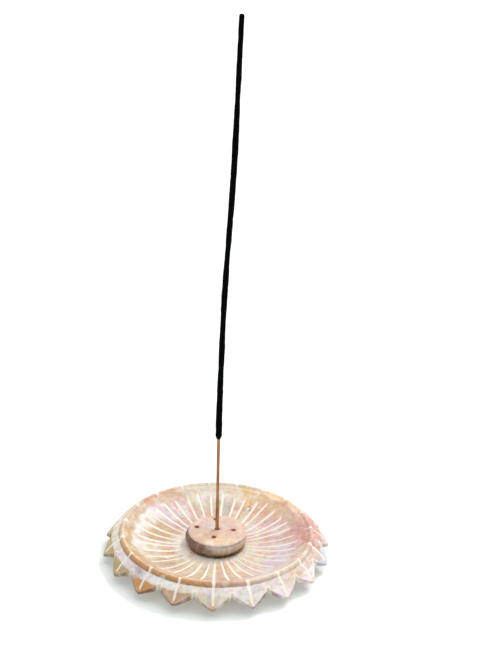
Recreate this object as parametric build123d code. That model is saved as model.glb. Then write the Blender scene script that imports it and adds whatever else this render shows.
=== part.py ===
from build123d import *
import math
import os

# A hand-carved soapstone incense burner: a round dish with a petalled rim, a drilled
# stone disc glued in the middle of its bowl, and an incense stick standing in the disc.
# Millimetres. The origin is on the table under the dish's centre, +Z is up and -Y is
# the front. Lengths are radii from the dish's axis or heights above the table.

# ---- petalled rim ----
tip_radius = 50.0            # the dish is 100 mm across its petal tips
tip_height = 4.0             # upper edge of a petal's tip
petal_count = 19
petal_step = 360.0 / petal_count
front_angle = -92.2          # direction of the front petal, degrees from +X
marking_drift = 2.4          # the petals were spaced by eye: a little wider at the front
drift_phase = 30.0
blunt_tip_width = 1.6
notch_radius = 45.9          # where two neighbouring petals meet

# ---- upper side of the dish ----
seat_height = 5.15           # flat seat under the disc
bowl_flat_radius = 17.0      # from here the bowl curves up
bowl_edge_radius = 39.5
bowl_edge_height = 11.6
bead_crest_radius = 41.2     # the rounded ring round the bowl
bead_crest_height = 12.6
bead_base_radius = 43.0
bead_base_height = 11.25
crease_radius = 46.1         # the sloping shelf ends here and the petals fold down
crease_height = 9.0

# ---- under side of the dish ----
foot_radius = 34.0
foot_chamfer = 1.0
hollow_radius = 40.5         # the rim is hollowed from below, down to this thin lip
hollow_height = 5.2
lip_root_radius = 43.9
lip_root_height = 7.9
lip_tip_radius = 49.2
lip_tip_height = 3.2

# ---- drilled disc ----
disc_radius = 12.85
disc_centre = (0.1, 0.5)     # glued in a little off the dish's own centre
disc_height = 6.7
disc_bulge_radius = 13.4     # its side swells out, widest a little above the middle
disc_bulge_height = 3.8
disc_foot_radius = 11.8
disc_edge_rounding = 0.5
hole_radius = 1.0
stick_hole = (0.1, 1.45)     # hand drilled, so none of the five sits true
spare_holes = [(-8.9, 2.9), (7.2, 0.9), (-1.3, -5.2), (-0.6, 9.9)]

# ---- incense stick ----
core_radius = 0.65           # split bamboo
core_gap = 0.05              # between the stick's cut end and the bottom of its hole
stick_length = 231.5
buried_end = 3.0             # the bamboo stops this far inside the top of the coating
skin_radii = [0.8, 1.32, 1.36, 1.3, 1.22, 1.12, 1.05, 0.93]
skin_heights = [51.5, 54.0, 66.0, 90.0, 125.0, 160.0, 195.0, 230.1]
skin_end_radius = 0.45
# the stick's own line, as it leans and bends: sideways shift at each height
lean_heights = [0.0, 62.0, 118.0, 170.0, 231.5]
lean_shifts = [0.0, -0.4, 0.55, 3.15, 4.4]

disc_top = seat_height + disc_height
stick_foot = seat_height + core_gap


def petal_angle(k):
    """Direction of petal k. A half number gives the notch between two petals."""
    even = k * petal_step
    return front_angle + even + marking_drift * math.sin(math.radians(even + drift_phase))


def at(radius, degrees):
    turn = math.radians(degrees)
    return (radius * math.cos(turn), radius * math.sin(turn))


def turned(lines):
    """A solid of revolution from the outline of half its section in the XZ plane."""
    return revolve(make_face(Plane.XZ * lines), Axis.Z)


def star_outline():
    """Plan of the rim: blunt petals with a pointed notch between each two."""
    half_tip = math.degrees(blunt_tip_width / 2 / tip_radius)
    points = []
    for k in range(petal_count):
        points.append(at(tip_radius, petal_angle(k) - half_tip))
        points.append(at(tip_radius, petal_angle(k) + half_tip))
        points.append(at(notch_radius, petal_angle(k + 0.5)))
    return make_face(Polyline(points, close=True))


def stone_dish():
    foot_edge = (foot_radius + foot_chamfer, foot_chamfer)
    hollow = (hollow_radius, hollow_height)
    lip_root = (lip_root_radius, lip_root_height)
    lip_tip = (lip_tip_radius, lip_tip_height)
    outer = (tip_radius + foot_chamfer, lip_tip_height)
    over = 1.0 + foot_chamfer / (tip_radius - crease_radius)
    rim = (tip_radius + foot_chamfer, crease_height - over * (crease_height - tip_height))
    crease = (crease_radius, crease_height)
    bead_base = (bead_base_radius, bead_base_height)
    bead_crest = (bead_crest_radius, bead_crest_height)
    bowl_edge = (bowl_edge_radius, bowl_edge_height)
    bowl_foot = (bowl_flat_radius, seat_height)
    section = Polyline((0, seat_height), (0, 0), (foot_radius, 0), foot_edge)
    section += ThreePointArc(foot_edge, hollow, lip_root)
    section += Polyline(lip_root, lip_tip, rim, crease, bead_base)
    section += ThreePointArc(bead_base, bead_crest, bowl_edge)
    section += TangentArc(bowl_foot, bowl_edge, tangent=(1, 0))
    section += Line(bowl_foot, (0, seat_height))
    plan = extrude(star_outline(), 2 * bead_crest_height)
    return turned(section) & plan


def drilled_disc():
    foot = (disc_foot_radius, 0)
    bulge = (disc_bulge_radius, disc_bulge_height)
    shoulder = (disc_radius, disc_height)
    section = Polyline((0, disc_height), (0, 0), foot)
    section += ThreePointArc(foot, bulge, shoulder)
    section += Line(shoulder, (0, disc_height))
    disc = turned(section)
    disc = fillet(disc.edges().filter_by(GeomType.CIRCLE).sort_by(Axis.Z)[-1], disc_edge_rounding)
    disc = Pos(*disc_centre, 0) * disc
    for x, y in [stick_hole] + spare_holes:
        disc -= Pos(x, y, disc_height / 2) * Cylinder(hole_radius, 2 * disc_height)
    return Pos(0, 0, seat_height) * disc


def lean_at(height):
    """Sideways shift of the stick's centre line at a height along it."""
    for k in range(len(lean_heights) - 1):
        low, high = lean_heights[k], lean_heights[k + 1]
        if height <= high:
            share = (height - low) / (high - low)
            return lean_shifts[k] + share * (lean_shifts[k + 1] - lean_shifts[k])
    return lean_shifts[-1]


def ring_at(height, radius):
    x, y = stick_hole
    return Pos(x + lean_at(height), y, stick_foot + height) * Circle(radius)


def rod(heights, radii):
    """A thin rod through circles standing one above another along the stick's line."""
    stations = sorted(set(heights) | {h for h in lean_heights if heights[0] < h < heights[-1]})
    rings = []
    for height in stations:
        radius = radii[0]
        for k in range(len(heights) - 1):
            low, high = heights[k], heights[k + 1]
            if low <= height <= high:
                share = (height - low) / (high - low)
                radius = radii[k] + share * (radii[k + 1] - radii[k])
        rings.append(ring_at(height, radius))
    return loft(rings, ruled=True)


def bamboo_core():
    return rod([0.0, stick_length - buried_end], [core_radius, core_radius])


def charcoal_coating():
    skin = rod(skin_heights + [stick_length], skin_radii + [skin_end_radius])
    return skin - bamboo_core()


os.makedirs("parts", exist_ok=True)
parts = {
    "stone_dish": stone_dish(),
    "drilled_disc": drilled_disc(),
    "bamboo_core": bamboo_core(),
    "charcoal_coating": charcoal_coating(),
}
for name, shape in parts.items():
    export_step(shape, f"parts/{name}.step")
    size = shape.bounding_box().size
    print(f"{name}: {shape.volume:.1f} mm3, {size.X:.2f} x {size.Y:.2f} x {size.Z:.2f} mm")
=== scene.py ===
# %% [markdown]
# # A soapstone incense burner
#
# The burner is a small round dish of soapstone. A stick of incense stands in a drilled
# stone disc in its middle, and the ash falls into the bowl round it. This script keeps
# the sizes of the CAD model and gives each of its four pieces the surface that a hand
# carver and a hand roller leave: engraved lines, filed petals, wax, dust and lumps.
#
# The shapes are worked out in millimetres and scaled to metres as they become meshes.

import math

import bpy
import numpy as np
from mathutils import Matrix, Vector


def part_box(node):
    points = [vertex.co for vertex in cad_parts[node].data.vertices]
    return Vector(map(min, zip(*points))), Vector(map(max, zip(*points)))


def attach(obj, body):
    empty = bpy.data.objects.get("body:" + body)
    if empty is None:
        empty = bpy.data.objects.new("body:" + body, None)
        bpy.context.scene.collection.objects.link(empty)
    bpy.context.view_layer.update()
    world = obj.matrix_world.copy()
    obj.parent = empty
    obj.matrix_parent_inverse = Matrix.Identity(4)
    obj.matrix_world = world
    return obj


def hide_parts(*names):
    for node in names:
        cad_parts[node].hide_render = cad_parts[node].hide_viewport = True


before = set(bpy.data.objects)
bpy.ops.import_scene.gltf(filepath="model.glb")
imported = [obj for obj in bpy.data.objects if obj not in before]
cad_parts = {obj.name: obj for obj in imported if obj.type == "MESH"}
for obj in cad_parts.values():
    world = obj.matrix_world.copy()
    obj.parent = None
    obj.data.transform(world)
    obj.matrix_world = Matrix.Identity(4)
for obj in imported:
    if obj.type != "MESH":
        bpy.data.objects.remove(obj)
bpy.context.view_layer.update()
MM = 0.001

# %% [markdown]
# ## Small tools
#
# Most of the carving is done with three simple curves. `smooth` is a ramp with soft
# ends, `hill` is a soft bump, and `lumps` is the unevenness that a hand leaves. They
# work on whole arrays, so thousands of points are shaped by one line. `wrapped` keeps a
# difference of two directions short, and `linear` turns a screen colour into light.

# %% Curves and unevenness
def smooth(x, low, high):
    """0 below low, 1 above high, and 3 t squared minus 2 t cubed on the way between."""
    t = np.clip((x - low) / (high - low), 0.0, 1.0)
    return t * t * (3.0 - 2.0 * t)


def hill(x, width):
    """A soft bump, 1 in the middle: e to the power of minus (x / width) squared."""
    return np.exp(-((x / width) ** 2))


def lumps(points, size, seed, waves=16):
    """Unevenness, mostly between -1 and 1: the sum of sine waves that cross space in
    random directions, over the root of their number. Each is about `size` mm long."""
    rng = np.random.default_rng(seed)
    way = rng.normal(size=(waves, 3))
    way /= np.linalg.norm(way, axis=1, keepdims=True)
    way *= (2 * np.pi / (size * rng.uniform(0.7, 1.5, waves)))[:, None]
    turn = rng.uniform(0, 2 * np.pi, waves)
    return np.sin(points @ way.T + turn).sum(axis=-1) * math.sqrt(1.0 / waves)


def wrapped(degrees):
    """An angle brought between -180 and 180 degrees."""
    return (degrees + 180) % 360 - 180


def linear(red, green, blue):
    """A colour given on a 0 to 255 screen, as the linear light Blender mixes."""
    screen = np.array([red, green, blue]) / 255.0
    return np.where(screen <= 0.04045, screen / 12.92, ((screen + 0.055) / 1.055) ** 2.4)


print("half way up the ramp:", smooth(np.array([0.5]), 0, 1))

# %% [markdown]
# ## From a grid of points to a mesh
#
# Every piece here is a grid: rows run along a profile and columns run round the piece.
# `shell` joins neighbouring points into four-sided faces, joins the last column to the
# first, and closes both ends with a fan of triangles. Rows that start at the top centre
# and travel outwards and down make the faces point outwards.

# %% Grids become closed shells
def shell(name, grid, first, last):
    """A closed mesh from rows x columns x 3 millimetres. `first` and `last` are the
    single points that close the first and the last row."""
    rows, columns = grid.shape[:2]
    number = np.arange(rows * columns).reshape(rows, columns)
    beside = np.roll(number, -1, axis=1)
    quads = np.stack([number[:-1], number[1:], beside[1:], beside[:-1]], axis=-1)
    top, bottom = rows * columns, rows * columns + 1
    fan_top = np.stack([np.full(columns, top), number[0], beside[0]], axis=-1)
    fan_bottom = np.stack([np.full(columns, bottom), beside[-1], number[-1]], axis=-1)
    points = np.vstack([grid.reshape(-1, 3), [first], [last]]) * MM
    faces = quads.reshape(-1, 4).tolist() + fan_top.tolist() + fan_bottom.tolist()
    mesh = bpy.data.meshes.new(name)
    mesh.from_pydata(points.tolist(), [], faces)
    mesh.validate()
    return mesh


def spots_of(mesh):
    """The mesh's points in millimetres, as an array."""
    flat = np.empty(len(mesh.vertices) * 3)
    mesh.vertices.foreach_get("co", flat)
    return flat.reshape(-1, 3) / MM


def paint(mesh, name, values):
    """Stores one number or one colour for each point, for a material to read."""
    if values.ndim == 1:
        layer = mesh.attributes.new(name, "FLOAT", "POINT")
        layer.data.foreach_set("value", values.astype(np.float32))
        return
    layer = mesh.attributes.new(name, "FLOAT_COLOR", "POINT")
    with_alpha = np.hstack([values, np.ones((len(values), 1))])
    layer.data.foreach_set("color", with_alpha.astype(np.float32).ravel())


def place(mesh, body, node, sharp_angle):
    """Puts the finished mesh in the scene, riding on its CAD body in its node's stead."""
    mesh.shade_smooth()
    mesh.set_sharp_from_angle(angle=math.radians(sharp_angle))
    piece = bpy.data.objects.new(mesh.name, mesh)
    bpy.context.scene.collection.objects.link(piece)
    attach(piece, body)
    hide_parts(node)
    print(mesh.name, len(mesh.vertices), "points")
    return piece


# %% [markdown]
# ## Marking out the dish
#
# The carver divided the rim into nineteen petals by eye. Two lines were engraved in the
# bowl for each petal, one for its middle and one for the notch beside it. Everything on
# the dish hangs on these 38 directions, so the grid's columns are gathered round them:
# each line owns 22 columns, and the closest ones lie across its groove, however far
# from the centre it is. That keeps the thin lines crisp with few points. In the bowl each
# line slips and bends a little from its true direction, starts and ends where the hand
# did, and has its own width.

# %% The 38 lines
petal_count = 19
line_count = 2 * petal_count
front_angle = -92.2
marking_drift = 2.4
drift_phase = 30.0
slip_degrees, bend_degrees = 0.75, 0.9
steady = np.random.default_rng(7)


def petal_angle(k):
    """Direction of petal k in degrees from +X; half numbers are the notches. Even steps
    plus a slow sine, because the front petals came out a little wider."""
    even = k * 360.0 / petal_count
    return front_angle + even + marking_drift * np.sin(np.radians(even + drift_phase))


rim_angle = np.radians(petal_angle(np.arange(line_count) / 2))
is_petal = np.arange(line_count) % 2 == 0
line_slip = np.radians(steady.normal(0, slip_degrees, line_count))
line_bend = np.radians(steady.normal(0, bend_degrees, line_count))
line_start = steady.uniform(12.9, 14.1, line_count)
line_end = steady.uniform(34.2, 37.4, line_count)
line_width = steady.uniform(0.85, 1.2, line_count)
print("petal tips at", np.degrees(rim_angle[::2]).round(1))

# %% [markdown]
# ## The dish's section
#
# Half a section of the dish, from the middle outwards: a flat seat for the disc, the
# bowl, a rounded bead, a sloping shelf, and the fold where the petals turn down. The
# carved top is one height for each distance from the middle. Where two planes meet, a
# soft minimum replaces the sharp crease with a worn one.

# %% Heights of the carved top
seat_height = 5.12
bowl_flat = 17.0
bowl_round = 39.0
bead_in, bead_out = 39.5, 42.9
bead_foot_in, bead_foot_out = 11.6, 11.35
bead_crown = 1.3
bead_rise, bead_drop, bead_fullness = 0.62, 2.4, 0.8
seam_depth, seam_offset, seam_width = 0.4, 0.12, 0.28
crease_radius, crease_height = 46.1, 9.0
shelf_slope = 0.726
petal_slope = 1.282
crease_wear = 0.35


def soft_min(a, b, width):
    """The smaller of two heights, with the corner between them rounded off."""
    return 0.5 * (a + b - np.sqrt((a - b) ** 2 + width**2))


def top_height(radius):
    """Bowl: a parabola beyond the flat. Bead: a soft ramp up to its crown, times 1 less a
    power of the outer half's share, which drops steeply, all on a sloping base line.
    Rim: the lower one of the shelf's line and the petals' steeper line, less a narrow
    hill where the bead meets the shelf, which is the seam."""
    bowl = seat_height + np.maximum(radius - bowl_flat, 0) ** 2 / (2 * bowl_round)
    along = np.clip((radius - bead_in) / (bead_out - bead_in), 0, 1)
    outer_half = np.clip(2 * along - 1, 0, 1)
    arch = smooth(along, 0.0, bead_rise) * (1 - outer_half**bead_drop) ** bead_fullness
    bead = bead_foot_in + along * (bead_foot_out - bead_foot_in) + bead_crown * arch
    shelf = crease_height - shelf_slope * (radius - crease_radius)
    petal = crease_height - petal_slope * (radius - crease_radius)
    rim = soft_min(shelf, petal, crease_wear)
    seam = seam_depth * hill(radius - bead_out - seam_offset, seam_width)
    inside = np.where(radius < bead_in, bowl, bead)
    return np.where(radius < bead_out, inside, rim) - seam


print("bowl, bead and crease at", top_height(np.array([20.0, 40.5, 46.1])).round(2))

# %% [markdown]
# ## The petals' edge
#
# Seen from above, the rim is a star. A petal's sides were filed by hand, so some swell
# and some run straight, and a saw opened each notch a little further. The tips are not
# all as long, and those at the front are the shortest. `reach` is how far the rim goes
# in each direction, and the grid's outer rows stretch to it.

# %% How far each column reaches
tip_radius = 50.0
notch_radius = 45.9
tip_blunting = 0.08
saw_cut = 0.8
saw_narrow, saw_wide = 0.35, 0.85
petal_half_width = 7.85
worn_front = 0.45
side_swell = np.stack(
    [steady.uniform(0.98, 1.3, petal_count), steady.uniform(0.86, 1.02, petal_count)]
)
tip_short = steady.uniform(0.0, 0.3, petal_count)
tip_short = tip_short + worn_front * np.maximum(-np.sin(rim_angle[::2]), 0)


def reach(angle):
    """Distance from the middle to the rim: from the tip's radius down to the notch's as
    a power of the share of the way from tip to notch, less the saw cut at the notch.
    Also gives the distance from the notch in millimetres."""
    looped = np.append(rim_angle, rim_angle[0] + 2 * np.pi)
    turned = (angle - rim_angle[0]) % (2 * np.pi) + rim_angle[0]
    place_in_row = np.interp(turned, looped, np.arange(line_count + 1))
    petal = np.round(place_in_row / 2).astype(int)
    off = place_in_row - 2 * petal
    petal %= petal_count
    side = (off > 0).astype(int)
    share = np.hypot(off, tip_blunting) - tip_blunting
    share /= math.hypot(1, tip_blunting) - tip_blunting
    tip = tip_radius - tip_short[petal]
    outline = tip - (tip - notch_radius) * share ** side_swell[side, petal]
    from_notch = (1 - np.abs(off)) * petal_half_width
    return outline - saw_cut * (1 - smooth(from_notch, saw_narrow, saw_wide)), from_notch


print("tip and notch reach", reach(rim_angle[:2])[0].round(2))

# %% [markdown]
# ## The dish as one grid
#
# Rows: the bowl, bead and shelf at fixed distances from the middle, then rows that
# stretch to the petals' edge, then the thickness of the rim, and back underneath to the
# foot. Columns: 22 to a line. A column's place is measured in millimetres from its
# line, so a groove keeps its width while the spokes fan out.

# %% Lay out the grid
columns_per_line = 22
groove_columns = 4
groove_half_width = 0.48
across_the_groove = 1.2
bold_direction, bold_spread, bold_gain = 173.0, 50.0, 0.22
petal_zone = 44.8
seat_rows = np.array([4.0, 9.0, 12.0])
bowl_rows = np.linspace(12.7, 39.1, 36)
bead_rows = np.linspace(39.4, 43.4, 19)
shelf_rows = np.array([43.6, 43.9, 44.3])
petal_rows = np.linspace(0, 1, 18)
edge_rows = np.array([0.06, 0.3, 0.6, 0.88, 1.0])
under_radii = np.array([43.6, 41.0, 38.0, 35.6, 34.7, 34.0, 33.0, 22.0, 8.0])
print(line_count * columns_per_line, "columns")


# %% How wide a groove is, and where the columns lie
bend_start, bend_length = 13, 24
slip_fades, slip_gone = 35.8, 38.6
widest_spoke = 47.0


def groove_width(radius, line):
    """Half the width of a line's groove: wider outwards, widest on the bead's top, and
    bolder on the left, by a hill round one direction."""
    grown = groove_half_width * (0.85 + 0.35 * smooth(radius, 14, 34))
    rim_line = is_petal[line] * smooth(radius, 38.5, 40.5)
    blot = 1 + rim_line * (0.35 * hill(radius - 41.6, 0.7) + 0.05)
    from_bold = wrapped(np.degrees(rim_angle[line]) - bold_direction)
    return grown * line_width[line] * blot * (1 + bold_gain * hill(from_bold, bold_spread))


def columns_at(radius):
    """Angle of every column on one row, its distance in mm from its own line, and the
    line's number. A line's true direction plus its slip and half a wave of bend gives
    its centre, and a distance over the radius gives an angle."""
    line = np.repeat(np.arange(line_count), columns_per_line)
    step = np.tile(np.arange(columns_per_line) - columns_per_line // 2, line_count)
    share = 1 - smooth(radius, slip_fades, slip_gone)
    wander = line_slip + line_bend * np.sin(np.pi * (radius - bend_start) / bend_length)
    centre = rim_angle + wander * share
    before = centre - np.roll(centre, 1)
    before[0] += 2 * np.pi
    after = np.roll(centre, -1) - centre
    after[-1] += 2 * np.pi
    flat_radius = min(radius, widest_spoke)
    half = np.where(step < 0, before[line], after[line]) / 2 * flat_radius
    near = np.minimum(across_the_groove * groove_width(radius, line), 0.5 * half)
    steps = np.abs(step)
    outer = columns_per_line // 2 - groove_columns
    far = near + (half - near) * np.maximum(steps - groove_columns, 0) / outer
    reached = np.where(steps <= groove_columns, near * steps / groove_columns, far)
    across = np.sign(step) * reached
    return centre[line] + across / flat_radius, across, line


print("a groove is", round(2 * groove_width(30.0, 0), 2), "mm wide at radius 30")

# %% Work out the upper side
rim_radius = 48.0
fixed_rows = np.concatenate([seat_rows, bowl_rows, bead_rows, shelf_rows])
fixed = [columns_at(radius) for radius in fixed_rows]
rim_columns, rim_across, line_of = columns_at(rim_radius)
edge_radius, from_notch = reach(rim_columns)
stretch = petal_zone + petal_rows[:, None] * (edge_radius - petal_zone)

angle = np.vstack([row[0] for row in fixed] + [np.tile(rim_columns, (len(petal_rows), 1))])
across = np.vstack([row[1] for row in fixed] + [np.tile(rim_across, (len(petal_rows), 1))])
radius = np.vstack([np.tile(fixed_rows[:, None], (1, len(line_of))), stretch])
print("upper side", radius.shape, "rows and columns")

# %% [markdown]
# ## Engraving
#
# The lines were cut with a point, which left pale powder in them. A groove's depth is a
# soft step across the line, and the same step with a wider mouth gives the powder.
# Bowl lines start at the disc and stop below the bead. Petal lines run on from the
# bead's inner edge nearly to the tip, and are shallow where they cross the bead's crown.
# Slow, shallow unevenness over the whole top leaves it hand worn.

# %% Cut the lines
groove_depth = 0.26
crown_radius, crown_width, crown_shallow = 41.2, 1.2, 0.85


def line_presence(radius, edge, line):
    """1 where a line is cut and 0 where it isn't, with soft ends."""
    start = smooth(radius, line_start[line] - 0.6, line_start[line] + 0.4)
    in_bowl = start * (1 - smooth(radius, line_end[line] - 1.6, line_end[line] + 0.2))
    on_petal = smooth(radius, 39.9, 40.9) * (1 - smooth(radius, edge - 1.1, edge - 0.4))
    return np.maximum(in_bowl, on_petal * is_petal[line])


presence = line_presence(radius, edge_radius, line_of)
width = groove_width(radius, line_of)
shallower = 1 - crown_shallow * hill(radius - crown_radius, crown_width)
groove = shallower * presence * (1 - smooth(np.abs(across), 0.25 * width, 1.05 * width))
powder = presence * (1 - smooth(np.abs(across), 0.65 * width, 1.2 * width))

flat = np.stack([radius * np.cos(angle), radius * np.sin(angle), 0 * radius], axis=-1)
height = top_height(radius) - groove_depth * groove
height += 0.10 * lumps(flat, 14.0, 3) * smooth(radius, 16, 24)
height += 0.035 * lumps(flat, 3.2, 4) * smooth(radius, 14, 18)
print("deepest groove", round(float((groove_depth * groove).max()), 2), "mm")

# %% [markdown]
# ## The rim's thickness and the foot
#
# The rim was cut with the file held upright, so its edge drops straight down. It is
# thick at a notch and thin at a tip. Underneath, a sloping hollow leads to the flat
# foot, which nobody sees unless the dish is picked up.

# %% Close the dish underneath
thick_at_notch, thick_at_tip = 2.5, 1.0
edge_rounding = 0.14
lip_radius, lip_height = 43.8, 7.8
foot_radius, foot_edge = 34.0, 35.0
foot_chamfer = 0.9

thickness = thick_at_notch + (thick_at_tip - thick_at_notch) * smooth(edge_radius, 45.0, 50.5)
top_edge = height[-1]
drop = edge_rows[:, None] * thickness
pull = edge_rounding * (hill(edge_rows, 0.05) + 0.7 * hill(edge_rows - 1, 0.1))[:, None]
edge_out = edge_radius + edge_rounding - pull + 0 * drop
under_profile = np.interp(
    under_radii, [foot_radius, foot_edge, lip_radius], [0, foot_chamfer, lip_height]
)

under = np.tile(under_radii[:, None], (1, len(line_of)))
all_angle = np.vstack([angle, np.tile(rim_columns, (len(edge_rows) + len(under_radii), 1))])
all_radius = np.vstack([radius, edge_out, under])
all_height = np.vstack([height, top_edge - drop, under_profile[:, None] + 0 * under])
dish_grid = np.stack(
    [all_radius * np.cos(all_angle), all_radius * np.sin(all_angle), all_height], axis=-1
)
dish_mesh = shell("carved_dish", dish_grid, (0, 0, seat_height), (0, 0, 0))
print("dish", len(dish_mesh.polygons), "faces")

# %% [markdown]
# ## Colours of the stone
#
# One block of soapstone runs through many colours. They are painted on the points with
# named colours. In the bowl they lie in rings: each ring names its colours by bearing,
# with 0 at the front, 90 on the right and -90 on the left, and neighbouring rings melt
# into each other outwards. The bead, the shelf and the petals each have a ring or a row
# of their own, with crisp borders, because the carver changed plane there and cut into
# fresh stone.
#
# Wax deepens the stone, so most colours are darkened once for all. The last four stay
# as bright as they are named. White is painted light in a pale ring by the disc, and
# pearl is painted light on two petals. Apricot is a painted highlight on the bead's
# crown and the stone's own peach on the bead at the back right. Mist is a cool grey.

# %% The palette
wax_depth = 0.76
waxed = {
    "chalk": linear(246, 240, 234),
    "cream": linear(234, 220, 200),
    "sand": linear(224, 204, 174),
    "olive": linear(200, 174, 118),
    "tan": linear(208, 176, 140),
    "ochre": linear(214, 158, 96),
    "rust": linear(196, 138, 112),
    "rosy": linear(220, 184, 172),
    "pink": linear(224, 190, 190),
    "mauve": linear(196, 152, 176),
    "lilac": linear(224, 212, 218),
    "grey": linear(204, 198, 190),
    "peach": linear(232, 198, 172),
    "straw": linear(246, 216, 160),
    "violet": linear(150, 130, 196),
    "coral": linear(222, 158, 146),
    "umber": linear(112, 78, 54),
    "bark": linear(82, 48, 38),
    "russet": linear(200, 104, 72),
}
stone = {name: wax_depth * colour for name, colour in waxed.items()}
# Not darkened by wax: white and pearl are painted light, and apricot is partly a painted
# highlight
stone["white"] = linear(255, 238, 214)
stone["pearl"] = linear(226, 214, 213)
stone["mist"] = linear(186, 194, 204)
stone["apricot"] = linear(248, 212, 178)
print(len(stone), "colours of stone")

# %% Rings of colour, by radius and bearing
# In the first ring, the cream and chalk on the left of the disc are painted light that lifts the
# disc's shade there
bowl_rings = [
    (15.0, "-170 rust, -140 rosy, -115 cream, -95 chalk, -50 chalk, -30 cream, 90 cream,"
           "115 rosy, 150 rosy"),
    (22.0, "-170 rosy, -122 rosy, -100 olive, -80 rosy, -65 olive, -45 sand, 0 sand,"
           "22 peach, 45 cream, 70 cream, 88 pink, 115 pink, 150 cream"),
    (29.0, "-170 sand, -150 rosy, -134 lilac, -112 olive, -95 tan, -75 sand, -55 tan,"
           "-30 sand, 8 sand, 25 peach, 50 lilac, 75 lilac, 95 pink, 120 pink, 145 peach,"
           "170 grey"),
    (35.0, "-172 chalk, -162 sand, -150 rosy, -134 lilac, -110 chalk, -75 chalk,"
           "-50 sand, -25 sand, -8 tan, 8 tan, 22 rosy, 40 lilac, 60 lilac, 80 pink,"
           "100 rosy, 125 peach, 155 straw"),
    (38.5, "-172 cream, -160 sand, -145 tan, -100 tan, -75 olive, -40 tan, -15 peach,"
           "5 rosy, 30 cream, 60 rosy, 88 rust, 108 peach, 130 peach, 160 straw"),
]
bead_ring = (
    "-175 cream, -162 cream, -148 peach, -128 rust, -108 sand, -85 sand, -62 ochre,"
    "-12 ochre, 4 rust, 14 rosy, 28 cream, 48 cream, 66 peach, 84 rust, 104 peach,"
    "122 apricot, 148 apricot, 165 cream"
)
shelf_ring = (
    "-170 chalk, -130 chalk, -95 cream, -70 chalk, -48 lilac, -30 chalk, -10 cream,"
    "5 chalk, 22 lilac, 45 cream, 65 pink, 85 rosy, 118 coral, 135 peach, 155 chalk"
)
# Petals from the front, turning right: the pearl of the second and third is painted light, and
# the olive, ochre and tan on the left and front left are partly the stone's colour, partly
# painted shade away from the light
petal_row = (
    "cream chalk pearl pearl mist pink coral peach cream sand straw cream"
    " chalk sand olive olive olive ochre tan"
).split()
print(len(bowl_rings), "rings in the bowl and", len(petal_row), "petals")

# %% Small spots: bearing, radius, size, colour and strength
dabs = [
    (-3.0, 45.6, 1.1, "violet", 0.55),
    (-46.0, 44.6, 1.3, "violet", 0.6),
    (-1.0, 49.0, 1.3, "ochre", 0.8),
    (-130.0, 22.0, 2.3, "mauve", 0.9),
    (-137.0, 32.0, 2.4, "mauve", 0.35),
    (-22.0, 24.5, 1.0, "violet", 0.5),
    (155.0, 29.0, 0.5, "bark", 0.8),
    (149.5, 30.0, 0.6, "bark", 0.8),
    (152.0, 31.8, 0.6, "bark", 0.7),
    (152.5, 30.0, 0.5, "chalk", 0.9),
    (17.0, 49.0, 1.0, "ochre", 0.7),
    (-20.0, 48.8, 1.2, "ochre", 0.8),
    (-60.0, 28.0, 2.0, "rust", 0.4),
    (-84.0, 27.0, 2.2, "rust", 0.35),
    (-72.0, 23.0, 1.8, "olive", 0.5),
]
print(len(dabs), "small spots")


# %% Brushes
def ring_colour(words, bearing):
    """Colours between the named ones round a ring, by a straight mix of neighbours."""
    pairs = [part.split() for part in words.split(",")]
    at = np.array([float(pair[0]) for pair in pairs])
    shades = np.array([stone[pair[1]] for pair in pairs])
    at = np.concatenate([[at[-1] - 360], at, [at[0] + 360]])
    shades = np.vstack([shades[-1], shades, shades[0]])
    return np.stack([np.interp(bearing, at, shades[:, k]) for k in range(3)], axis=-1)


def over(below, above, share):
    """One coat of paint over another, by a share for each point."""
    return below + (above - below) * np.clip(share, 0, 1)[:, None]


def wash(colours, name, strength):
    """Lays a named colour over the others, by a strength for each point."""
    return over(colours, stone[name], strength)


def bearing_of(points):
    """Bearing of each point in degrees: 0 at the front and 90 on the right."""
    return np.degrees(np.arctan2(points[:, 0], -points[:, 1]))


print("front and right:", bearing_of(np.array([[0.0, -1.0], [1.0, 0.0]])))


# %% Paint the bowl
def bowl_colour(points, radius, bearing, shaken):
    """Each point mixes its two nearest rings by distance from the middle, shaken by
    lumps, so no ring shows as such. Then come brown streaks that run outwards: lumps
    that are short across the bearing and long along the radius."""
    far = radius + 1.2 * lumps(points, 9.0, 11)
    radii = np.array([ring[0] for ring in bowl_rings])
    layers = np.stack([ring_colour(ring[1], shaken) for ring in bowl_rings])
    where = np.interp(far, radii, np.arange(len(radii)))
    low = np.minimum(where.astype(int), len(radii) - 2)
    rows = np.arange(len(points))
    colour = over(layers[low, rows], layers[low + 1, rows], smooth(where - low, 0.1, 0.9))
    spokes = lumps(np.stack([bearing, 0.12 * radius, 0 * far], axis=-1), 6.5, 17)
    streaked = smooth(radius, 15, 19) * (1 - smooth(radius, 33, 37))
    streaked = streaked * (0.5 + 0.5 * hill(bearing + 60, 60))
    colour = wash(colour, "umber", 0.3 * streaked * smooth(spokes, 0.2, 1.2))
    colour = wash(colour, "rust", 0.5 * streaked * smooth(-spokes, 0.1, 1.1))
    return over(colour, ring_colour(bead_ring, shaken), smooth(far, 38.8, 40.6))


print("left of the disc:", ring_colour(bowl_rings[0][1], np.array([-90.0])).round(2))


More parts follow.
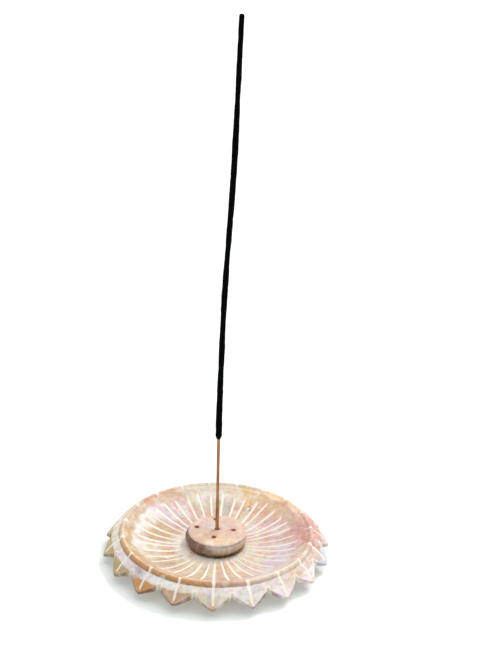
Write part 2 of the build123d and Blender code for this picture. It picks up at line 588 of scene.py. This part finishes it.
# %% Paint the rim
def rim_colour(colour, points, radius, bearing, shaken):
    """Lays shelf, bead and petals over the bowl's colours. The front left of the bead is
    ochre on its outer side, partly the stone's colour and partly painted shade, with a
    painted highlight on its crown. On the right a coral patch begins at a sharp border,
    with a cream one in front of it. Painted shade darkens the seam round the bead's foot,
    most on the front left."""
    crisp = radius + 0.12 * lumps(points, 5.0, 13)
    colour = over(colour, ring_colour(shelf_ring, shaken), smooth(crisp, 42.8, 43.05))
    front_left = hill(bearing + 40, 60)
    # Front left of the bead: ochre on its outer side is partly painted shade, and apricot on its
    # crown is a painted highlight
    colour = wash(colour, "ochre", 0.75 * hill(radius - 42.5, 0.6) * front_left)
    colour = wash(colour, "apricot", 0.6 * hill(radius - 41.3, 0.5) * front_left)
    past_border = smooth(bearing + 0.8 * lumps(points, 3.0, 16), 76.0, 77.5)
    coral_patch = past_border * (1 - smooth(bearing, 92, 118)) * smooth(radius, 31, 40)
    colour = wash(colour, "coral", 0.85 * coral_patch)
    cream_patch = (1 - past_border) * smooth(bearing, 56, 66) * smooth(radius, 35, 38)
    colour = wash(colour, "cream", 0.5 * cream_patch)
    # Painted shade in the seam round the bead's foot, stronger on the front left
    seam_shade = hill(radius - 42.95, 0.25) * (0.5 + 0.5 * front_left)
    colour = wash(colour, "umber", 0.6 * seam_shade)
    from_petals = wrapped(bearing[:, None] - 90 - petal_angle(np.arange(petal_count)))
    nearest = np.argmin(np.abs(from_petals), axis=1)
    petals = np.stack([stone[name] for name in petal_row])[nearest]
    return over(colour, petals, smooth(crisp, crease_radius - 0.15, crease_radius + 0.3))


print("petals from the front:", ", ".join(petal_row[:4]))


# %% The dish's whole coat
def dish_colour(points):
    """Bowl, then rim, then a pale ring of painted light on the front left of the disc,
    which lifts its shade, and a ring of painted shade at the disc's foot, then the small
    spots. Bearings are shaken by lumps, so no ray shows as such."""
    radius = np.hypot(points[:, 0], points[:, 1])
    bearing = bearing_of(points)
    shaken = wrapped(bearing + 5 * lumps(points, 12.0, 12))
    colour = bowl_colour(points, radius, bearing, shaken)
    colour = rim_colour(colour, points, radius, bearing, shaken)
    # Painted light: a pale ring on the front left of the disc. Painted shade: bark right at its
    # foot
    colour = wash(colour, "white", 0.9 * hill(radius - 14.0, 1.9) * hill(bearing + 62, 48))
    colour = wash(colour, "bark", 0.8 * hill(radius - 11.9, 0.3))
    for at_bearing, at_radius, size, name, strength in dabs:
        turn = math.radians(at_bearing)
        spot = np.array([at_radius * math.sin(turn), -at_radius * math.cos(turn)])
        gap = np.hypot(*(points[:, :2] - spot).T) * (1 + 0.3 * lumps(points, 3.0, 14))
        colour = wash(colour, name, strength * hill(gap, size))
    return colour


dish_spots = spots_of(dish_mesh)
dish_tint = dish_colour(dish_spots)
print("mean colour of the dish", dish_tint.mean(axis=0).round(2))

# %% [markdown]
# ### Powder, filed notches and the rim's edge
#
# Filing leaves the same pale powder as engraving, so the faces beside each notch get it
# too. The edge of the rim isn't waxed, and its walls get painted shade in umber, less of
# it right at the front and on the right.

# %% Powder and painted shade on the edge
def padded(values):
    """Values for the dish's first points, with zeros for all points after them."""
    return np.concatenate([values, np.zeros(dish_spots.shape[0] - values.size)])


near_notch = 1 - smooth(from_notch, 0.75, 1.45)
top_filed = near_notch * smooth(radius, 44.6, 45.2)
edge_filed = np.tile(near_notch, (len(edge_rows), 1))
filed = padded(np.concatenate([top_filed.ravel(), edge_filed.ravel()]))
paint(dish_mesh, "powder", np.maximum(padded(powder.ravel()), 0.9 * filed))

edge = np.zeros(dish_spots.shape[0])
edge[radius.size:radius.size + edge_filed.size] = 1.0
edge_bearing = bearing_of(dish_spots)
# Painted shade on the rim's walls: umber, less of it right at the front and on the right
edge_shade = 0.45 + 0.3 * smooth(np.abs(edge_bearing - 3), 8, 22)
edge_shade = edge_shade - 0.5 * smooth(edge_bearing, 26, 40) + 0.1 * lumps(dish_spots, 4.0, 15)
paint(dish_mesh, "tint", wash(dish_tint, "umber", edge * edge_shade))
dish = place(dish_mesh, "burner", "stone_dish", 60)

# %% [markdown]
# ## The drilled disc
#
# The disc is a thick stone button with a flat top, a shallow turned line under its edge,
# a swollen side and an undercut foot. It is turned as a shell from a profile, and its
# body has slipped a little to the left of its top, as hand work does. Its five holes are
# cut with a Boolean modifier, by drill bits whose tops flare out unevenly, so every hole
# gets a chipped mouth. Cutting real holes lets light fall into them.

# %% Turn the disc
disc_low, disc_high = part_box("drilled_disc")
disc_foot = disc_low.z / MM
disc_top = disc_high.z / MM
disc_profile = np.array(
    [
        (3.0, 6.7), (6.0, 6.7), (9.0, 6.7), (11.2, 6.69), (12.1, 6.66), (12.6, 6.55),
        (12.84, 6.3), (12.9, 6.0), (12.8, 5.8), (12.78, 5.65), (12.98, 5.45), (13.22, 5.0),
        (13.38, 4.4), (13.42, 3.8), (13.3, 3.0), (13.05, 2.2), (12.66, 1.4), (12.25, 0.8),
        (11.95, 0.35), (11.7, 0.0), (9.0, 0.0), (5.0, 0.0),
    ]
)
disc_centre = np.array([0.35, 0.6])
slip = np.array([-0.75, -0.3])
slip_low, slip_high = 4.6, 6.6
unevenness = 0.006

disc_way = np.linspace(0, 2 * np.pi, 200, endpoint=False)
profile_r = disc_profile[:, 0][:, None]
profile_z = disc_profile[:, 1][:, None]
slipped = 1 - smooth(profile_z, slip_low, slip_high)
disc_x = disc_centre[0] + slip[0] * slipped + profile_r * np.cos(disc_way)
disc_y = disc_centre[1] + slip[1] * slipped + profile_r * np.sin(disc_way)
disc_grid = np.stack([disc_x, disc_y, disc_foot + profile_z + 0 * disc_x], axis=-1)
on_side = ((profile_r > 10) & (profile_z > 0.5))[..., None]
disc_grid[..., :2] *= 1 + unevenness * on_side * lumps(disc_grid, 7.0, 21)[..., None]
disc_mesh = shell("drilled_disc_stone", disc_grid, (0, 0, disc_top), (0, 0, disc_foot))
print("disc", len(disc_mesh.polygons), "faces before drilling")

# %% Drill the five holes
hole_radius = 1.0
bit_length = 7.5
stick_hole = (0.1, 1.45)
spare_holes = [(-8.9, 2.9), (7.2, 0.9), (-1.3, -5.2), (-0.6, 9.9)]


def drill_bit(x, y, seed):
    """A straight bit whose top flares by a tenth to a third of its radius, more on some
    sides than on others, to chip the mouth of the hole."""
    heights = np.array([1.0, 0.35, 0.0, -0.12, -0.3, -0.7, -bit_length])[:, None]
    flare = np.array([0.30, 0.26, 0.16, 0.07, 0.02, 0.0, 0.0])[:, None]
    way = np.linspace(0, 2 * np.pi, 40, endpoint=False)[None, :]
    spots = np.stack([np.cos(way), np.sin(way), 0 * way], axis=-1)[0] * hole_radius
    uneven = 0.75 + 0.45 * lumps(spots, 1.6, seed)[None, :]
    r = hole_radius * (1 + flare * np.maximum(uneven, 0.1))
    across_x, across_y = x + r * np.cos(way), y + r * np.sin(way)
    grid = np.stack([across_x, across_y, disc_top + heights + 0 * r], axis=-1)
    return shell(f"bit_{seed}", grid, (x, y, disc_top + 1.0), (x, y, disc_top - bit_length))


def cut_with(mesh, bits):
    """The mesh less all the bits, by Boolean modifiers applied one after another."""
    body = bpy.data.objects.new("blank", mesh)
    bpy.context.scene.collection.objects.link(body)
    tools = []
    for bit in bits:
        tool = bpy.data.objects.new(bit.name, bit)
        bpy.context.scene.collection.objects.link(tool)
        cutter = body.modifiers.new(bit.name, "BOOLEAN")
        cutter.operation = "DIFFERENCE"
        cutter.solver = "EXACT"
        cutter.object = tool
        tools.append(tool)
    seen = body.evaluated_get(bpy.context.evaluated_depsgraph_get())
    drilled = bpy.data.meshes.new_from_object(seen)
    for thing in [body] + tools:
        bpy.data.objects.remove(thing)
    return drilled


holes = [stick_hole] + spare_holes
bits = [drill_bit(x, y, 30 + k) for k, (x, y) in enumerate(holes)]
disc_drilled = cut_with(disc_mesh, bits)
disc_drilled.name = "drilled_disc_stone_cut"
print("disc", len(disc_drilled.polygons), "faces after drilling")

# %% [markdown]
# ### The disc's colours
#
# The top is peach, with soft patches of the stone's other colours and a painted highlight
# along its front edge. The side runs from lilac at its upper edge through olive to bark
# at its foot: partly the stone's colour and partly painted shade, which deepens towards
# the undercut foot. It is painted browner on the left, as painted shade on the side away
# from the light, and a darker line runs along the right side near the turned groove.
# The mouths of the holes are russet, more so further in.

# %% Paint the disc's top
disc_spots = spots_of(disc_drilled)
left_to_right = disc_spots[:, 0] + 1.5 * lumps(disc_spots, 6.0, 41)
front_to_back = disc_spots[:, 1] + 1.5 * lumps(disc_spots, 5.0, 42)
# colour, strength, then centre and spread from left to right and from front to back
top_patches = [
    ("rosy", 0.9, -8, 5, -1, 5),
    ("lilac", 0.8, -4, 4, 5, 3),
    ("pink", 0.7, 5, 5, 5, 4),
    ("grey", 0.5, -2, 3, 1, 2),
    ("straw", 0.5, 1, 6, -8, 3),
    # the chalk along the front edge is a painted highlight
    ("chalk", 0.7, 1, 7, -11.8, 1.2),
]
disc_tint = np.tile(stone["peach"], (len(disc_spots), 1))
for name, strength, x, x_spread, y, y_spread in top_patches:
    patch = hill(left_to_right - x, x_spread) * hill(front_to_back - y, y_spread)
    disc_tint = wash(disc_tint, name, strength * patch)
print(len(top_patches), "patches on the disc")

# %% Paint its side and holes, and place it
depth = disc_top - disc_spots[:, 2]
below = smooth(depth, 0.4, 0.9)
right_side = smooth(left_to_right, -6, 0)
shade_on_left = smooth(-left_to_right, -2, 8)
# Painted shade: lilac to olive to bark towards the undercut foot, and umber on the left, away
# from the light
disc_tint = wash(disc_tint, "lilac", 0.9 * below)
disc_tint = wash(disc_tint, "olive", 0.8 * below * smooth(depth, 1.4, 3.0))
disc_tint = wash(disc_tint, "umber", 0.5 * hill(depth - 1.35, 0.25) * right_side)
disc_tint = wash(disc_tint, "umber", 0.95 * below * shade_on_left)
disc_tint = wash(disc_tint, "bark", smooth(depth, 3.6, 5.4))
from_hole = np.min(
    [np.hypot(disc_spots[:, 0] - x, disc_spots[:, 1] - y) for x, y in holes], axis=0
)
in_hole = 0.5 + 0.5 * smooth(depth, 0.15, 1.2)
disc_tint = wash(disc_tint, "russet", (1 - smooth(from_hole, 1.15, 1.7)) * in_hole)
paint(disc_drilled, "tint", disc_tint)
paint(disc_drilled, "powder", np.zeros(len(disc_spots)))
disc = place(disc_drilled, "burner", "drilled_disc", 40)
disc.name = "drilled_disc_stone"

# %% [markdown]
# ## The stick
#
# The stick is a split bamboo core with paste rolled on it by hand, so it is never quite
# straight or quite round. Both parts are tubes carried along the same leaning line. The
# line is a few straight stretches averaged over a sliding window, which bends it as
# gently as a real stick.

# %% The stick's centre line and tubes
stick_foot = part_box("bamboo_core")[0].z / MM
stick_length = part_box("charcoal_coating")[1].z / MM - stick_foot
bare_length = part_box("charcoal_coating")[0].z / MM - stick_foot
lean_heights = np.array([0.0, 62.0, 118.0, 170.0, 231.5])
lean_shifts = np.array([-0.05, -0.52, 0.42, 3.0, 4.25])
window = np.linspace(-15, 15, 13)
eased_foot, eased_top, line_top = 20, 20, 231


def stick_line(height):
    """Centre of the stick at each height: the mean of the straight stretches' shift over
    a window of 30 mm, easing to their own shift at both ends, moved to the stick's hole."""
    near = np.interp(height[:, None] + window[None, :], lean_heights, lean_shifts)
    ends = np.interp(height, lean_heights, lean_shifts)
    near_top = smooth(height, line_top - eased_top, line_top)
    shift = ends + (near.mean(axis=1) - ends) * smooth(height, 0, eased_foot) * (1 - near_top)
    x, y = stick_hole
    return np.stack([x + shift, y + 0 * shift, stick_foot + height], axis=-1)


def tube(name, heights, radii, around):
    """A closed tube: circles of the given radii, one for each height and direction, set
    level on the stick's line. The rows run downwards, so the faces point outwards."""
    way = np.linspace(0, 2 * np.pi, around, endpoint=False)
    ring = np.stack([np.cos(way), np.sin(way), 0 * way], axis=-1)
    centre = stick_line(heights)
    grid = centre[:, None, :] + radii[..., None] * ring[None, :, :]
    return shell(name, grid, centre[0], centre[-1])


print("stick", round(stick_length, 1), "mm, bare for", round(bare_length, 1), "mm")

# %% [markdown]
# ### Core and coating
#
# The core was split with a knife, so its section has blunt corners, and its foot is a
# little thicker. The coating hides the core from where the paste begins. Its thickness
# is given at a row of heights, thick and thin as the paste rolled out, with slow
# waves round it from the palm and small lumps in the paste. Both of its ends are
# rounded.

# %% The bamboo core
core_radius = 0.65
thick_foot, foot_starts, foot_ends = 0.16, 26, 8
into_coating = 6
core_around = 28
core_heights = np.concatenate([np.linspace(bare_length + into_coating, 0.6, 120), [0.25, 0.02]])
core_way = np.linspace(0, 2 * np.pi, core_around, endpoint=False)
split_faces = 0.03 * np.cos(4 * core_way + 0.6) + 0.02 * np.cos(3 * core_way)
core_wander = 0.025 * lumps(stick_line(core_heights), 9.0, 51)
core_swell = 1 + thick_foot * (1 - smooth(core_heights, foot_ends, foot_starts))
core_radii = 1 + split_faces[None, :] + core_wander[:, None]
core_radii = core_radius * core_swell[:, None] * core_radii
core_radii[-2:] *= np.array([[0.96], [0.85]])
core_mesh = tube("bamboo_core_split", core_heights, core_radii, core_around)
core = place(core_mesh, "incense_stick", "bamboo_core", 50)

# %% The coating's thickness along the stick
coat_knots = [
    51.5, 60, 70, 80, 97, 106, 115, 124, 133, 142, 158, 175, 183, 191, 199, 206, 222, 231.5,
]
coat_thick = [
    1.43, 1.4, 1.32, 1.23, 1.24, 1.1, 1.35, 1.28, 1.07, 1.18, 1.26, 1.27, 1.34, 1.18, 0.98,
    1.13, 1.07, 1.04,
]
coat_heights = np.concatenate(
    [[stick_length - 0.04, stick_length - 0.3, stick_length - 0.8],
     np.linspace(stick_length - 1.5, bare_length + 3.0, 520),
     bare_length + np.array([2.2, 1.5, 0.9, 0.45, 0.15, 0.0])]
)
base_radius = np.interp(coat_heights, coat_knots, coat_thick)[:, None]
print("coating", base_radius.min().round(2), "to", base_radius.max().round(2), "mm in radius")

# %% The charcoal coating
coat_around = 36
middle_radius = 1.2
rounded_top, rounded_foot = 0.7, 1.8
coat_way = np.linspace(0, 2 * np.pi, coat_around, endpoint=False)
coat_line = stick_line(coat_heights)
coat_ring = np.stack([np.cos(coat_way), np.sin(coat_way), 0 * coat_way], axis=-1)
coat_points = coat_line[:, None, :] + middle_radius * coat_ring[None, :, :]
rolled = 0.02 * lumps(coat_line * [0, 0, 1], 9.0, 62)[:, None]
pressed = 0.03 * lumps(coat_points, 5.0, 63) + 0.012 * lumps(coat_points, 1.5, 64)
from_top = np.clip((stick_length - coat_heights) / rounded_top, 0, 1)
round_top = np.sqrt(np.clip(1 - (1 - from_top) ** 2, 0.25, 1))
round_foot = 0.56 + 0.44 * smooth(coat_heights - bare_length, -0.3, rounded_foot)
coat_radii = base_radius * (1 + rolled + pressed) * (round_top * round_foot)[:, None]
coat_mesh = tube("charcoal_coating_rolled", coat_heights, coat_radii, coat_around)
coat = place(coat_mesh, "incense_stick", "charcoal_coating", 60)

# %% [markdown]
# ## Materials
#
# The same helpers wire every material. `add` makes a node and fills its sockets, and a
# socket may be given a number, a colour or another node's output. `mix`, `veil`, `ramp`
# and `math_node` are the few nodes that come again and again. Effects that several
# materials share are node groups, made with `group` and placed with `use`.

# %% Helpers for node trees
def add(tree, kind, out=0, settings=None, **sockets):
    """Makes a node, sets its options and its inputs, and returns one of its outputs.
    Inputs are named with underscores for spaces; one starting with in is by number."""
    made = tree.nodes.new("ShaderNode" + kind)
    for key, value in (settings or {}).items():
        setattr(made, key, value)
    for key, value in sockets.items():
        slot = made.inputs[int(key[2:]) if key[2:].isdigit() else key.replace("_", " ")]
        if isinstance(value, bpy.types.NodeSocket):
            tree.links.new(value, slot)
        else:
            slot.default_value = value
    return made.outputs[out]


def math_node(tree, operation, a, b=0.5, c=0.5):
    """One sum on each point, such as a times b, or a times b plus c."""
    return add(tree, "Math", settings={"operation": operation}, in0=a, in1=b, in2=c)


def mix(tree, share, a, b, blend="MIX"):
    """A mix of two colours. Share 0 gives a and share 1 gives b."""
    made = tree.nodes.new("ShaderNodeMix")
    made.data_type = "RGBA"
    made.blend_type = blend
    for slot, value in ((0, share), (6, a), (7, b)):
        if isinstance(value, bpy.types.NodeSocket):
            tree.links.new(value, made.inputs[slot])
        else:
            made.inputs[slot].default_value = value
    return made.outputs[2]


def ramp(tree, value, low, high):
    """A soft step from 0 at low to 1 at high."""
    return add(tree, "MapRange", settings={"interpolation_type": "SMOOTHSTEP"},
               Value=value, From_Min=low, From_Max=high)


def rgba(red, green, blue):
    """A screen colour as a node's socket takes it."""
    return (*[float(part) for part in linear(red, green, blue)], 1.0)


def veil(tree, below, mask, strength, colour):
    """A thin coat of one colour: mask times strength is its share over what is below."""
    return mix(tree, math_node(tree, "MULTIPLY", mask, strength), below, colour)


print("six helpers for nodes")


# %% Helpers for node groups and materials
def group(name, inputs, outputs):
    """A node group with named sockets, and its input and output nodes."""
    tree = bpy.data.node_groups.new(name, "ShaderNodeTree")
    for label, kind, value in inputs:
        socket = tree.interface.new_socket(label, in_out="INPUT", socket_type="NodeSocket" + kind)
        socket.default_value = value
    for label, kind in outputs:
        tree.interface.new_socket(label, in_out="OUTPUT", socket_type="NodeSocket" + kind)
    return tree, tree.nodes.new("NodeGroupInput"), tree.nodes.new("NodeGroupOutput")


def use(tree, grouped, **sockets):
    """Places a group in a material and returns the node, for its named outputs."""
    made = tree.nodes.new("ShaderNodeGroup")
    made.node_tree = grouped
    for key, value in sockets.items():
        slot = made.inputs[key.replace("_", " ")]
        if isinstance(value, bpy.types.NodeSocket):
            tree.links.new(value, slot)
        else:
            slot.default_value = value
    return made


def material(name):
    """A new material, its node tree and its Principled BSDF."""
    made = bpy.data.materials.new(name)
    made.use_nodes = True
    return made, made.node_tree, made.node_tree.nodes["Principled BSDF"]


print("three helpers for groups and materials")

# %% [markdown]
# ### Fine grain, a shared effect
#
# Stone, bamboo and paste all have a fine tooth. Real geometry this fine would need
# millions of faces, so a noise does it. The group gives a height for the bump and a mask
# that dulls the gloss where the tooth is open. Each material sets its size.

# %% Fine grain
grain_group, grain_in, grain_out = group(
    "fine grain",
    [("Size", "Float", 3000.0), ("Stretch", "Vector", (1.0, 1.0, 1.0))],
    [("Height", "Float"), ("Tooth", "Float")],
)
where = add(grain_group, "TexCoord", out="Object")
where = add(grain_group, "VectorMath", settings={"operation": "MULTIPLY"},
            in0=where, in1=grain_in.outputs["Stretch"])
tooth = add(grain_group, "TexNoise", Vector=where, Scale=grain_in.outputs["Size"],
            Detail=4.0, Roughness=0.65)
grain_group.links.new(tooth, grain_out.inputs["Height"])
grain_group.links.new(ramp(grain_group, tooth, 0.35, 0.75), grain_out.inputs["Tooth"])
print("group", grain_group.name)

# %% [markdown]
# ### Soapstone, a shared body
#
# Polished soapstone is cloudy. Broad clouds warm or cool the paint, fine mottling breaks
# up every patch, and soft spots of mixed hues lie all over it. Thin veins wander through:
# they are where a noise passes its middle value, read at points that a second noise has
# bent. Small dark pits sit here and there, at the centres of a few Voronoi cells. The
# dish and the disc use the same group with their own sizes.

# %% Soapstone: clouds, mottling and hues
soap_group, soap_in, soap_out = group(
    "soapstone",
    [
        ("Tint", "Color", (0.6, 0.5, 0.4, 1.0)), ("Cloud Size", "Float", 110.0),
        ("Cloud Strength", "Float", 0.5), ("Vein Strength", "Float", 0.4),
        ("Pit Strength", "Float", 1.0),
    ],
    [("Color", "Color"), ("Height", "Float"), ("Roughness", "Float")],
)
knob = soap_in.outputs
spot = add(soap_group, "TexCoord", out="Object")
cloud = add(soap_group, "TexNoise", Vector=spot, Scale=knob["Cloud Size"],
            Detail=3.0, Distortion=0.8)
warm, cool = ramp(soap_group, cloud, 0.52, 0.7), ramp(soap_group, cloud, 0.48, 0.3)
body = veil(soap_group, knob["Tint"], warm, knob["Cloud Strength"], rgba(200, 142, 112))
body = veil(soap_group, body, cool, knob["Cloud Strength"], rgba(224, 214, 212))
mottle = add(soap_group, "TexNoise", Vector=spot, Scale=620.0, Detail=5.0, Roughness=0.7)
dark, pale = ramp(soap_group, mottle, 0.5, 0.7), ramp(soap_group, mottle, 0.5, 0.28)
body = veil(soap_group, body, dark, 0.42, rgba(164, 126, 100))
body = veil(soap_group, body, pale, 0.28, rgba(240, 232, 226))
hues = add(soap_group, "TexNoise", out="Color", Vector=spot, Scale=330.0,
           Detail=4.0, Roughness=0.6)
body = mix(soap_group, 0.55, body, hues, blend="SOFT_LIGHT")
print("group", soap_group.name, len(soap_group.nodes), "nodes so far")

# %% Soapstone: veins and pits
bent = add(soap_group, "TexNoise", out="Color", Vector=spot, Scale=60.0, Detail=2.0)
bent = add(soap_group, "VectorMath", settings={"operation": "MULTIPLY_ADD"},
           in0=bent, in1=(0.02, 0.02, 0.02), in2=spot)
vein = add(soap_group, "TexNoise", Vector=bent, Scale=75.0, Detail=3.0)
vein = math_node(soap_group, "ABSOLUTE", math_node(soap_group, "SUBTRACT", vein, 0.5))
vein = ramp(soap_group, vein, 0.022, 0.0)
body = veil(soap_group, body, vein, knob["Vein Strength"], rgba(176, 120, 104))
pits = add(soap_group, "TexVoronoi", Vector=spot, Scale=190.0)
pit_field = add(soap_group, "TexNoise", Vector=spot, Scale=70.0)
pit = math_node(soap_group, "MULTIPLY", ramp(soap_group, pits, 0.13, 0.06),
                ramp(soap_group, pit_field, 0.6, 0.66))
pit = math_node(soap_group, "MULTIPLY", pit, knob["Pit Strength"])
body = mix(soap_group, pit, body, rgba(120, 84, 84))
tall = math_node(soap_group, "MULTIPLY_ADD", pit, -1.0, mottle)
dull = math_node(soap_group, "MULTIPLY_ADD", mottle, 0.25, 0.3)
soap_group.links.new(body, soap_out.inputs["Color"])
soap_group.links.new(tall, soap_out.inputs["Height"])
soap_group.links.new(dull, soap_out.inputs["Roughness"])
print("group", soap_group.name, len(soap_group.nodes), "nodes")


# %% Stone for the dish and the disc
def waxed_stone(name, cloud_size, cloud_strength, vein_strength, pit_strength):
    """Soapstone rubbed with wax. The engraver's powder lies over it, pale and dull, and
    thinner where the stone's tooth is open."""
    made, tree, shader = material(name)
    tint = add(tree, "Attribute", settings={"attribute_name": "tint"})
    powder = add(tree, "Attribute", out="Fac", settings={"attribute_name": "powder"})
    stone_body = use(tree, soap_group, Tint=tint,
                     Cloud_Size=cloud_size, Cloud_Strength=cloud_strength,
                     Vein_Strength=vein_strength, Pit_Strength=pit_strength)
    grain = use(tree, grain_group, Size=2600.0)
    held = math_node(tree, "MULTIPLY_ADD", grain.outputs["Tooth"], -0.25, 1.0)
    dusty = math_node(tree, "MULTIPLY", powder, held)
    colour = mix(tree, dusty, stone_body.outputs["Color"], rgba(230, 223, 210))
    tree.links.new(colour, shader.inputs["Base Color"])
    rough = math_node(tree, "MULTIPLY_ADD", dusty, 0.35, stone_body.outputs["Roughness"])
    tree.links.new(rough, shader.inputs["Roughness"])
    height = math_node(tree, "MULTIPLY_ADD", grain.outputs["Height"], 0.35,
                       stone_body.outputs["Height"])
    bump = add(tree, "Bump", Strength=0.35, Distance=0.00012, Height=height)
    tree.links.new(bump, shader.inputs["Normal"])
    shader.inputs["Specular IOR Level"].default_value = 0.3
    shader.inputs["Coat Weight"].default_value = 0.04
    shader.inputs["Coat Roughness"].default_value = 0.3
    shader.inputs["Subsurface Weight"].default_value = 0.08
    shader.inputs["Subsurface Radius"].default_value = (0.0012, 0.0008, 0.0006)
    return made


dish.data.materials.append(waxed_stone(
    "waxed soapstone", cloud_size=150.0, cloud_strength=0.4, vein_strength=0.12,
    pit_strength=0.7,
))
disc.data.materials.append(waxed_stone(
    "waxed disc stone", cloud_size=170.0, cloud_strength=0.3, vein_strength=0.08,
    pit_strength=0.2,
))
print("stone on", dish.name, "and", disc.name)

# %% [markdown]
# ### Bamboo
#
# Split bamboo shows long fibres. The fine grain, stretched thirtyfold along the stick,
# draws them in the colour and in the bump alike, and broad brown stains lie over them.

# %% Bamboo
bamboo, tree, shader = material("split bamboo")
fibre = use(tree, grain_group, Size=5200.0, Stretch=(1.0, 1.0, 0.03))
on_stick = add(tree, "TexCoord", out="Object")
stain = add(tree, "TexNoise", Vector=on_stick, Scale=90.0, Detail=2.0)
pale_fibre = ramp(tree, fibre.outputs["Height"], 0.35, 0.65)
wood = mix(tree, pale_fibre, rgba(112, 70, 36), rgba(190, 138, 86))
wood = veil(tree, wood, ramp(tree, stain, 0.45, 0.65), 0.5, rgba(122, 72, 44))
rough = math_node(tree, "MULTIPLY_ADD", fibre.outputs["Tooth"], 0.2, 0.45)
ridges = add(tree, "Bump", Strength=0.5, Distance=0.00006, Height=fibre.outputs["Height"])
tree.links.new(wood, shader.inputs["Base Color"])
tree.links.new(rough, shader.inputs["Roughness"])
tree.links.new(ridges, shader.inputs["Normal"])
core.data.materials.append(bamboo)
print("bamboo on", core.name)

# %% [markdown]
# ### Charcoal paste
#
# Dried incense paste is nearly black and quite dull, with a fine crumb and a faint dust
# where it was handled. Plain black would look like paint, so the crumb shows in the bump
# and a little in the colour, and the gloss is turned nearly off.

# %% Charcoal paste
charcoal, tree, shader = material("charcoal paste")
crumb = use(tree, grain_group, Size=3800.0)
on_stick = add(tree, "TexCoord", out="Object")
dust = add(tree, "TexNoise", Vector=on_stick, Scale=260.0, Detail=4.0)
raised = ramp(tree, crumb.outputs["Height"], 0.3, 0.7)
black = mix(tree, raised, rgba(2, 2, 4), rgba(6, 5, 7))
black = veil(tree, black, ramp(tree, dust, 0.55, 0.75), 0.35, rgba(13, 11, 13))
rough = math_node(tree, "MULTIPLY_ADD", crumb.outputs["Tooth"], 0.15, 0.75)
crumbs = add(tree, "Bump", Strength=0.7, Distance=0.00015, Height=crumb.outputs["Height"])
tree.links.new(black, shader.inputs["Base Color"])
tree.links.new(rough, shader.inputs["Roughness"])
tree.links.new(crumbs, shader.inputs["Normal"])
shader.inputs["Specular IOR Level"].default_value = 0.03
coat.data.materials.append(charcoal)
print("paste on", coat.name)

# %% [markdown]
# ## Studio
#
# A pale floor that glows a little and a bright, even surround give the high, clean look
# of a product picture. A lamp close by would be brighter on its own side of the dish, so
# two far lights stand on the right instead: a very broad, high one that models the bowl,
# and a narrower, lower one behind it that draws the edges and sends a soft shadow to the
# front left.

# %% Floor and surround
floor_half = 4.0
floor_corners = [
    (-floor_half, -floor_half, 0), (floor_half, -floor_half, 0),
    (floor_half, floor_half, 0), (-floor_half, floor_half, 0),
]
floor_mesh = bpy.data.meshes.new("floor")
floor_mesh.from_pydata(floor_corners, [], [(0, 1, 2, 3)])
floor = bpy.data.objects.new("floor", floor_mesh)
bpy.context.scene.collection.objects.link(floor)
floor_paper, tree, shader = material("white paper")
shader.inputs["Base Color"].default_value = (0.70, 0.73, 0.71, 1.0)
shader.inputs["Roughness"].default_value = 0.9
shader.inputs["Emission Color"].default_value = (0.94, 1.0, 0.96, 1.0)
shader.inputs["Emission Strength"].default_value = 0.19
floor_mesh.materials.append(floor_paper)

world = bpy.data.worlds.new("soft surround")
world.use_nodes = True
surround = world.node_tree.nodes["Background"]
surround.inputs["Color"].default_value = (0.96, 0.98, 1.0, 1.0)
surround.inputs["Strength"].default_value = 0.84
bpy.context.scene.world = world
bpy.context.scene.view_settings.view_transform = "Standard"
print("floor", 2 * floor_half, "m across")


# %% Two far lights
def aimed(stand, target, tilt=0.0):
    """A matrix at `stand` that looks at `target`, turned by `tilt` about its own view."""
    ahead = np.array(target) - np.array(stand)
    ahead = ahead / np.linalg.norm(ahead)
    right = np.cross(ahead, [0, 0, 1])
    right /= np.linalg.norm(right)
    up = np.cross(right, ahead)
    right, up = (
        math.cos(tilt) * right + math.sin(tilt) * up,
        math.cos(tilt) * up - math.sin(tilt) * right,
    )
    turned = np.eye(4)
    turned[:3, 0], turned[:3, 1], turned[:3, 2], turned[:3, 3] = right, up, -ahead, stand
    return Matrix(turned.tolist())


def far_light(name, height_angle, bearing, spread, strength, colour):
    """A distant light: angles in degrees, bearing 0 at the front and 90 on the right,
    and spread the width of the sky that it fills, which softens its shadows."""
    data = bpy.data.lights.new(name, "SUN")
    data.angle = math.radians(spread)
    data.energy = strength
    data.color = colour
    lamp = bpy.data.objects.new(name, data)
    bpy.context.scene.collection.objects.link(lamp)
    up, turn = math.radians(height_angle), math.radians(bearing)
    level = math.cos(up)
    stand = np.array([math.sin(turn) * level, -math.cos(turn) * level, math.sin(up)])
    lamp.matrix_world = aimed(stand, (0, 0, 0))


far_light("softbox on the right", height_angle=72, bearing=112, spread=60,
          strength=1.05, colour=(1.0, 0.985, 0.96))
far_light("window behind", height_angle=50, bearing=139, spread=16,
          strength=1.35, colour=(1.0, 0.99, 0.97))
print("two lights and a surround")

# %% [markdown]
# ## Camera
#
# The camera stands 0.6 m from the dish and 32 degrees above it. It looks down by only 23
# degrees, so the dish sits low in the picture and the whole stick fits above it. The lens
# is a long one of about 72 mm, which keeps the rim's circle from bulging, and the camera
# is tilted by 2 degrees.

# %% Camera
camera_distance = 0.6
camera_height_angle = math.radians(32.03)
look_down = math.radians(22.96)
look_right = math.radians(1.30)
camera_tilt = math.radians(1.99)
tip_level = 4.0 * MM

camera_way = np.array([0, -math.cos(camera_height_angle), math.sin(camera_height_angle)])
camera_place = camera_distance * camera_way
camera_place[2] += tip_level
level = math.cos(look_down)
ahead = np.array(
    [math.sin(look_right) * level, math.cos(look_right) * level, -math.sin(look_down)]
)
camera_data = bpy.data.cameras.new("camera")
camera_data.lens = 72.11
camera_data.sensor_width = 36.0
camera_data.clip_start = 0.01
camera = bpy.data.objects.new("camera", camera_data)
bpy.context.scene.collection.objects.link(camera)
camera.matrix_world = aimed(camera_place, camera_place + ahead, camera_tilt)
bpy.context.scene.camera = camera
print("camera at", camera_place.round(3), "m")
